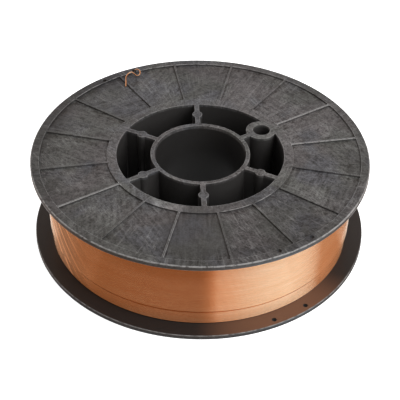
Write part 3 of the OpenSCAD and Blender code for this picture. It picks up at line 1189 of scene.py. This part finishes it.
@dataclass
class Winding:
    """The wound wire: turns laid side by side over a turned core.

    Sizes are in mm and are the part's own.
    """

    pack_r: float = 90.9
    bore_r: float = 52.35
    bottom: float = 3.1
    top: float = 51.9
    last_layer_bottom: float = 12.4
    groove: float = 0.8
    wire_d: float = 0.8
    steps: int = 132
    sides: int = 8
    wander: float = 0.015
    seed: float = 7.0

    @property
    def layer_rise(self) -> float:
        """How much a layer adds to the radius."""
        return self.wire_d * math.sqrt(3) / 2

    def core(self) -> bpy.types.Mesh:
        """Turned body that the visible turns lie on."""
        outer = self.pack_r - self.wire_d * 0.62
        inner = outer - self.layer_rise
        corner = 1.5
        profile = [(self.bore_r, self.bottom + corner), (self.bore_r + corner, self.bottom),
                   (inner, self.bottom), (inner, self.last_layer_bottom + self.wire_d / 2),
                   (outer, self.last_layer_bottom + self.wire_d / 2), (outer, self.top),
                   (self.bore_r + corner, self.top), (self.bore_r, self.top - corner)]
        profile.append(profile[0])
        skin = Skin()
        skin.wall([circle((0, 0), r, 144) for r, _ in profile], [z for _, z in profile],
                  [0.0] * len(profile))
        skin.smooth = [False] * len(skin.faces)
        return skin.mesh("winding_core")

    def tree(self) -> ShapeTree:
        """Tree that lays the turns of both visible layers and joins them to the core."""
        shape = ShapeTree("Lay Turns", {
            "Radius": FLOAT, "Layer Rise": FLOAT, "Bottom": FLOAT, "Last Bottom": FLOAT,
            "Groove": FLOAT, "Top": FLOAT, "Wire Diameter": FLOAT, "Steps": "NodeSocketInt",
            "Sides": "NodeSocketInt", "Wander": FLOAT, "Seed": FLOAT,
            "Material": "NodeSocketMaterial"})
        nodes, given = shape.nodes, shape.given
        half = nodes.math("MULTIPLY", given["Wire Diameter"], 0.5)
        section = nodes.add("GeometryNodeCurvePrimitiveCircle", {
            "Resolution": given["Sides"], "Radius": half}).outputs[0]
        upper = nodes.math("SUBTRACT", given["Radius"], half)
        lower = nodes.math("SUBTRACT", upper, given["Layer Rise"])
        covered = nodes.math("SUBTRACT", given["Last Bottom"], given["Groove"])
        laid = []
        for radius, start, stop in ((upper, given["Last Bottom"], given["Top"]),
                                    (lower, given["Bottom"], covered)):
            low = nodes.math("ADD", start, half)
            room = nodes.math("SUBTRACT", nodes.math("SUBTRACT", stop, half), low)
            turns = nodes.math("DIVIDE", room, given["Wire Diameter"])
            spiral = nodes.add("GeometryNodeCurveSpiral", {
                "Resolution": given["Steps"], "Rotations": turns, "Start Radius": radius,
                "End Radius": radius, "Height": room}).outputs[0]
            place = nodes.add("GeometryNodeInputPosition").outputs[0]
            parts = nodes.add("ShaderNodeSeparateXYZ", {0: place}).outputs
            field_at = nodes.combine(nodes.math("MULTIPLY", parts[0], 14.0),
                                     nodes.math("MULTIPLY", parts[1], 14.0),
                                     nodes.math("MULTIPLY", parts[2], 700.0))
            random = nodes.add("ShaderNodeTexNoise", {"Vector": field_at, "W": given["Seed"],
                               "Scale": 1.0, "Detail": 1.0}, noise_dimensions="4D").outputs[0]
            shift = nodes.math("MULTIPLY", nodes.math("SUBTRACT", random, 0.5),
                               given["Wander"])
            moved = nodes.add("GeometryNodeSetPosition", {
                "Geometry": spiral, "Offset": nodes.combine(0.0, 0.0, nodes.math(
                    "ADD", low, shift))}).outputs[0]
            laid.append(nodes.add("GeometryNodeCurveToMesh", {
                "Curve": moved, "Profile Curve": section, "Fill Caps": True}).outputs[0])
        soft = [nodes.add("GeometryNodeSetShadeSmooth", {"Geometry": g}).outputs[0]
                for g in laid]
        join = nodes.add("GeometryNodeJoinGeometry")
        for geometry in (given["Geometry"], *soft):
            nodes.tree.links.new(geometry, join.inputs[0])
        shape.end(join.outputs[0])
        return shape

    def build(self, copper: bpy.types.Material) -> bpy.types.Object:
        """Makes the winding.

        Args:
            copper: Its material.

        Returns:
            The finished piece, which stands for the CAD node.
        """
        piece = shown("wound_wire", self.core(), copper)
        self.tree().grow(piece, {
            "Radius": self.pack_r * MM, "Layer Rise": self.layer_rise * MM,
            "Bottom": self.bottom * MM, "Last Bottom": self.last_layer_bottom * MM,
            "Groove": self.groove * MM, "Top": self.top * MM, "Wire Diameter": self.wire_d * MM, "Steps": self.steps,
            "Sides": self.sides, "Wander": self.wander * MM, "Seed": self.seed,
            "Material": copper})
        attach(piece, BODY)
        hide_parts("wire_pack")
        return piece


@dataclass
class WireEnd:
    """The free end of the wire: off the winding, up through a tie hole and bent over.

    Sizes are in mm and are the part's own; bends are clockwise, outwards and upwards from
    the tie hole's centre at the top of the spool.
    """

    pack_r: float = 90.9
    height: float = 55.0
    flange_t: float = 3.1
    tie_at: float = 96.3
    tied_at: float = 83.5
    wire_d: float = 0.8
    gap: float = 0.15
    lead_angles: tuple[float, ...] = (16, 12, 8, 4, 0)
    lead_stops: tuple[float, ...] = (0.35, 0.7, 0.9, 0.965)
    bends: tuple[tuple[float, float, float], ...] = (
        (0, 0, -2.6), (0, -0.1, -0.4), (0.8, -1.6, 1.8), (1.6, -3.6, 2.3), (1.8, -5.3, 2),
        (0.6, -7, 1.1), (-1.1, -6.8, 0.7), (-2, -5.2, 1.1), (-3.2, -3.8, 2), (-4.6, -4, 2.2),
        (-6.3, -4.5, 2), (-8.4, -6.4, 1.6), (-10.3, -10.4, 0.9), (-11.9, -13.7, -0.4))

    def route(self) -> list[Vector]:
        """Points that the wire passes, in mm."""
        lead_r = self.pack_r + self.wire_d / 2 + self.gap
        under = self.height - self.flange_t - self.wire_d / 2 - self.gap
        leave_at = self.tied_at - math.degrees(math.acos(lead_r / self.tie_at))
        hole, leave = Vector(polar(self.tie_at, self.tied_at)), Vector(polar(lead_r, leave_at))
        points = [Vector((*polar(lead_r, leave_at - a), under)) for a in self.lead_angles]
        points += [Vector((*leave.lerp(hole, stop), under)) for stop in self.lead_stops]
        out = Vector(polar(1, self.tied_at))
        along = Vector((out.y, -out.x))
        points += [Vector((*(hole + along * a + out * b), self.height + up))
                   for a, b, up in self.bends]
        return points

    def build(self, copper: bpy.types.Material) -> bpy.types.Object:
        """Makes the wire's end.

        Args:
            copper: Its material.

        Returns:
            The finished piece, which stands for the CAD node.
        """
        points = self.route()
        path = bpy.data.meshes.new("wire_end")
        path.from_pydata([p * MM for p in points], [(i, i + 1) for i in range(len(points) - 1)],
                         [])
        piece = shown("bent_wire_end", path, copper)
        shape = ShapeTree("Follow Route", {"Wire Diameter": FLOAT, "Sides": "NodeSocketInt",
                                           "Steps": "NodeSocketInt",
                                           "Material": "NodeSocketMaterial"})
        nodes, given = shape.nodes, shape.given
        line = nodes.add("GeometryNodeMeshToCurve", {0: given["Geometry"]}).outputs[0]
        line = nodes.add("GeometryNodeCurveSplineType", {0: line},
                         spline_type="CATMULL_ROM").outputs[0]
        line = nodes.add("GeometryNodeSetSplineResolution", {
            "Geometry": line, "Resolution": given["Steps"]}).outputs[0]
        section = nodes.add("GeometryNodeCurvePrimitiveCircle", {
            "Resolution": given["Sides"],
            "Radius": nodes.math("MULTIPLY", given["Wire Diameter"], 0.5)}).outputs[0]
        tube = nodes.add("GeometryNodeCurveToMesh", {
            "Curve": line, "Profile Curve": section, "Fill Caps": True}).outputs[0]
        shape.end(nodes.add("GeometryNodeSetShadeSmooth", {"Geometry": tube}).outputs[0])
        shape.grow(piece, {"Wire Diameter": self.wire_d * MM, "Sides": 14, "Steps": 8,
                           "Material": copper})
        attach(piece, BODY)
        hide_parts("wire_end")
        return piece


# --- Studio ---------------------------------------------------------------------------------


@dataclass
class PhotoCamera:
    """The camera of the photograph, in mm and degrees.

    Args:
        bearing: Angle round the spool, from looking along +Y.
        elevation: Angle above the floor.
        distance: Distance from the point that it is set up on.
        target: Height of that point on the axis.
        pan: Turn to the left after aiming.
        tilt: Turn upwards after aiming.
        roll: Turn about the line of sight.
        lens: Focal length on a sensor 36 mm wide.
    """

    bearing: float = -33.3
    elevation: float = 38.86
    distance: float = 765.0
    target: float = 27.5
    pan: float = -0.025
    tilt: float = -0.497
    roll: float = -1.018
    lens: float = 113.9

    def build(self) -> bpy.types.Object:
        """Makes the camera and gives it to the scene."""
        rise = math.radians(self.elevation)
        ahead = Vector((0, math.cos(rise), -math.sin(rise)))
        right = Vector((1, 0, 0))
        up = right.cross(ahead)
        look = Matrix((right, up, -ahead)).transposed()
        aimed = (Matrix.Rotation(math.radians(self.tilt), 3, right)
                 @ Matrix.Rotation(math.radians(self.pan), 3, up))
        rolled = Matrix.Rotation(math.radians(self.roll), 3, aimed @ ahead)
        around = Matrix.Rotation(math.radians(self.bearing), 3, "Z")
        place = around @ (Vector((0, 0, self.target)) - ahead * self.distance)
        camera = bpy.data.objects.new("photo_camera", bpy.data.cameras.new("photo_camera"))
        camera.data.lens = self.lens
        camera.data.sensor_width = 36.0
        camera.data.clip_start, camera.data.clip_end = 0.05, 50.0
        camera.matrix_world = Matrix.Translation(place * MM) @ (
            around @ rolled @ aimed @ look).to_4x4()
        bpy.context.scene.collection.objects.link(camera)
        bpy.context.scene.camera = camera
        return camera


@dataclass(frozen=True)
class Softbox:
    """A large soft lamp, placed as a photographer would from behind the camera.

    Args:
        name: Name of the lamp.
        aside: Angle from the camera round the spool, positive to the right.
        elevation: Angle above the floor.
        distance: Distance from the spool, in m.
        width: Width, in m.
        tall: Height, in m.
        power: Power, in W.
        tint: Colour of its light.
    """

    name: str
    aside: float
    elevation: float
    distance: float
    width: float
    tall: float
    power: float
    tint: Colour = (1.0, 1.0, 1.0)

    def build(self, camera_bearing: float) -> bpy.types.Object:
        """Makes the lamp, turned to the spool."""
        around, rise = math.radians(camera_bearing + self.aside), math.radians(self.elevation)
        back = Vector((math.sin(around) * math.cos(rise), -math.cos(around) * math.cos(rise),
                       math.sin(rise)))
        data = bpy.data.lights.new(self.name, "AREA")
        data.shape, data.size, data.size_y = "RECTANGLE", self.width, self.tall
        data.energy, data.color = self.power, self.tint
        lamp = bpy.data.objects.new(self.name, data)
        lamp.rotation_mode = "QUATERNION"
        lamp.rotation_quaternion = (-back).to_track_quat("-Z", "Y")
        lamp.location = back * self.distance + Vector((0, 0, 0.03))
        lamp.visible_glossy = False
        bpy.context.scene.collection.objects.link(lamp)
        return lamp


@dataclass
class LightTent:
    """A dome of cloth on a dark ring, lit unevenly from outside. Only mirrors see it.

    Args:
        radius: Radius of the dome, in m.
        inner: Radius of the middle of the ring, in which the spool stands, in m.
        sides: Angle from the camera, positive to the right, and how bright the wall is there.
        wall_top: Elevation up to which the wall's own brightness reaches, in degrees.
        roof_from: Elevation from which the roof's brightness holds, in degrees.
        roof: How bright the roof is.
        strip: Elevation of the round strip light, its half width, and its brightness.
        backdrop: Half width of the backdrop behind the spool, its top and its brightness.
        ground: Share of the wall's brightness that the ring has, and what it has besides.
        under: Brightness under the spool.
        near_turn: How much faster the ring's brightness turns, from the spool outwards.
        above_floor: Height of the ring, in m.
        dim: Tint of the dim parts.
        lit: Tint of the bright parts.
    """

    radius: float = 1.6
    inner: float = 0.101
    sides: tuple[Point, ...] = (
        (-180, 0.26), (-154, 0.26), (-150, 0.80), (-101, 0.74), (-97, 0.32), (-50, 0.31),
        (2, 0.31), (8, 0.45), (14, 0.85), (40, 1.08), (62, 1.25), (84, 1.27), (88, 0.66),
        (128, 0.60), (140, 0.28), (180, 0.26))
    wall_top: float = 34.0
    roof_from: float = 80.0
    roof: float = 0.08
    strip: tuple[float, float, float] = (60.0, 14.0, 0.72)
    backdrop: tuple[float, float, float] = (20.0, 26.0, 1.5)
    ground: Point = (0.8, 0.08)
    under: float = 0.25
    near_turn: tuple[float, ...] = (2.0, 1.5, 1.2, 1.0)
    above_floor: float = 0.0004
    dim: Colour = (1.0, 0.54, 0.29)
    lit: Colour = (0.96, 1.06, 1.15)

    def side(self, aside: float) -> float:
        """Brightness of the wall at an angle from the camera."""
        for (a, low), (b, high) in zip(self.sides, self.sides[1:]):
            if a <= aside <= b:
                return low + (high - low) * (aside - a) / (b - a)
        return self.roof

    def tinted(self, value: float) -> Colour:
        """Colour of a glow of a given brightness."""
        share = min(value, 1.0) ** 3.5
        return tuple(value * (d + (c - d) * share) for d, c in zip(self.dim, self.lit))

    def glow(self, aside: float, rise: float, shares: Point) -> Colour:
        """Light of one place of the cloth.

        Args:
            aside: Angle from the camera, positive to the right.
            rise: Elevation of the place, in degrees.
            shares: Share of the wall's brightness, and what is added to it.

        Returns:
            The colour of its glow.
        """
        aside = (aside + 180) % 360 - 180
        fall = (rise - self.wall_top) / (self.roof_from - self.wall_top)
        fall = min(max(fall, 0.0), 1.0)
        value = self.side(aside)
        value = (value + (self.roof - value) * fall) * shares[0] + shares[1]
        half, top, white = self.backdrop
        behind = min(max((half - (180 - abs(aside))) / 3, 0.0), 1.0)
        behind *= min(max((top - rise) / 4, 0.0), 1.0) * shares[0]
        value += (white - value) * behind
        centre, reach, strength = self.strip
        white = strength * max(0.0, 1 - abs(rise - centre) / reach)
        colour = self.tinted(value) if shares[0] else (value, value, value)
        return tuple(c + white for c in colour)

    def rows(self) -> list[tuple[float, float, float, Point]]:
        """Radius, height, angle factor and shares of each ring, from the inside."""
        shade, low, turns = (0.0, self.under), self.above_floor, self.near_turn
        ground = [(0.001, low, 1.0, shade), (self.inner, low, 1.0, shade)]
        ground += [(self.inner * far + 0.001, low, turn, self.ground)
                   for far, turn in zip((1.0, 1.5, 3.0, 8.0), turns)]
        dome = [(self.radius * math.cos(math.radians(a)),
                 self.radius * math.sin(math.radians(a)) + low, 1.0, (1.0, 0.0))
                for a in range(0, 91, 3)]
        return ground + dome

    def build(self, bearing: float, cloth: bpy.types.Material) -> bpy.types.Object:
        """Makes the dome and its ring.

        Args:
            bearing: The camera's bearing, in degrees.
            cloth: Its material.

        Returns:
            The tent, as part of the stage.
        """
        asides = sorted({*range(-180, 181, 3), *(a for a, _ in self.sides)})
        points, glows, faces = [], [], []
        rows = self.rows()
        for radius, height, turn, shares in rows:
            rise = math.degrees(math.atan2(height, radius))
            for aside in asides:
                around = math.radians(bearing + aside)
                points.append((math.sin(around) * radius, -math.cos(around) * radius, height))
                glows += [*self.glow(aside * turn, rise, shares), 1.0]
        count = len(asides)
        for r in range(len(rows) - 1):
            for i in range(count - 1):
                low = r * count + i
                faces.append((low, low + count, low + count + 1, low + 1))
        mesh = bpy.data.meshes.new("light_tent")
        mesh.from_pydata(points, [], faces)
        mesh.attributes.new("glow", "FLOAT_COLOR", "POINT").data.foreach_set("color", glows)
        piece = shown("light_tent", mesh, cloth)
        piece.visible_camera = piece.visible_diffuse = piece.visible_shadow = False
        piece.visible_transmission = piece.visible_volume_scatter = False
        return piece


@dataclass
class Studio:
    """Floor, tent, lamps, world and camera."""

    camera: PhotoCamera = field(default_factory=PhotoCamera)
    floor_r: float = 6.0
    ambient: float = 0.42
    tent: LightTent = field(default_factory=LightTent)
    lamps: tuple[Softbox, ...] = (
        Softbox("key_softbox", 55.0, 38.0, 0.95, 0.62, 0.75, 9.0),
        Softbox("back_left_softbox", 235.0, 30.0, 1.1, 0.5, 0.8, 3.0),
        Softbox("top_softbox", 170.0, 62.0, 1.1, 0.9, 0.6, 3.7),
    )

    def floor(self, paper: bpy.types.Material) -> bpy.types.Object:
        """Makes the round floor under the spool."""
        ground = bmesh.new()
        bmesh.ops.create_circle(ground, cap_ends=True, segments=64, radius=self.floor_r)
        mesh = bpy.data.meshes.new("paper_floor")
        ground.to_mesh(mesh)
        ground.free()
        piece = shown("paper_floor", mesh, paper)
        return piece

    def world(self) -> None:
        """White behind the spool, and a plain even light from the room."""
        world = bpy.data.worlds.new("studio_room")
        bpy.context.scene.world = world
        world.use_nodes = True
        nodes = Nodes(world.node_tree)
        seen = seen_share(nodes)
        room = nodes.add("ShaderNodeBackground", {0: (1, 1, 1, 1), 1: self.ambient})
        white = nodes.add("ShaderNodeBackground", {0: (1, 1, 1, 1), 1: 1.0})
        both = nodes.add("ShaderNodeMixShader", {0: seen, 1: room.outputs[0],
                                                 2: white.outputs[0]})
        nodes.add("ShaderNodeOutputWorld", {0: both.outputs[0]})

    def build(self, effects: Effects) -> None:
        """Sets up the whole studio."""
        self.camera.build()
        self.world()
        self.floor(StudioPaper("studio_paper").material(effects))
        self.tent.build(self.camera.bearing, TentCloth("tent_cloth").material(effects))
        for lamp in self.lamps:
            lamp.build(self.camera.bearing)
        bpy.context.scene.view_settings.view_transform = "Standard"


def main() -> None:
    """Builds the studio and the pieces, in order."""
    logging.basicConfig(level=logging.INFO, format="%(message)s")
    effects = Effects()
    Studio().build(effects)
    plastic = MouldedPlastic("spool_plastic").material(effects)
    copper = CopperedWire("copper_wire").material(effects)
    for piece in (MouldedSpool().build(plastic), Winding().build(copper),
                  WireEnd().build(copper)):
        piece.data.calc_loop_triangles()
        log.info("%s: %d triangles", piece.name, len(piece.data.loop_triangles))


if __name__ == "__main__":
    main()
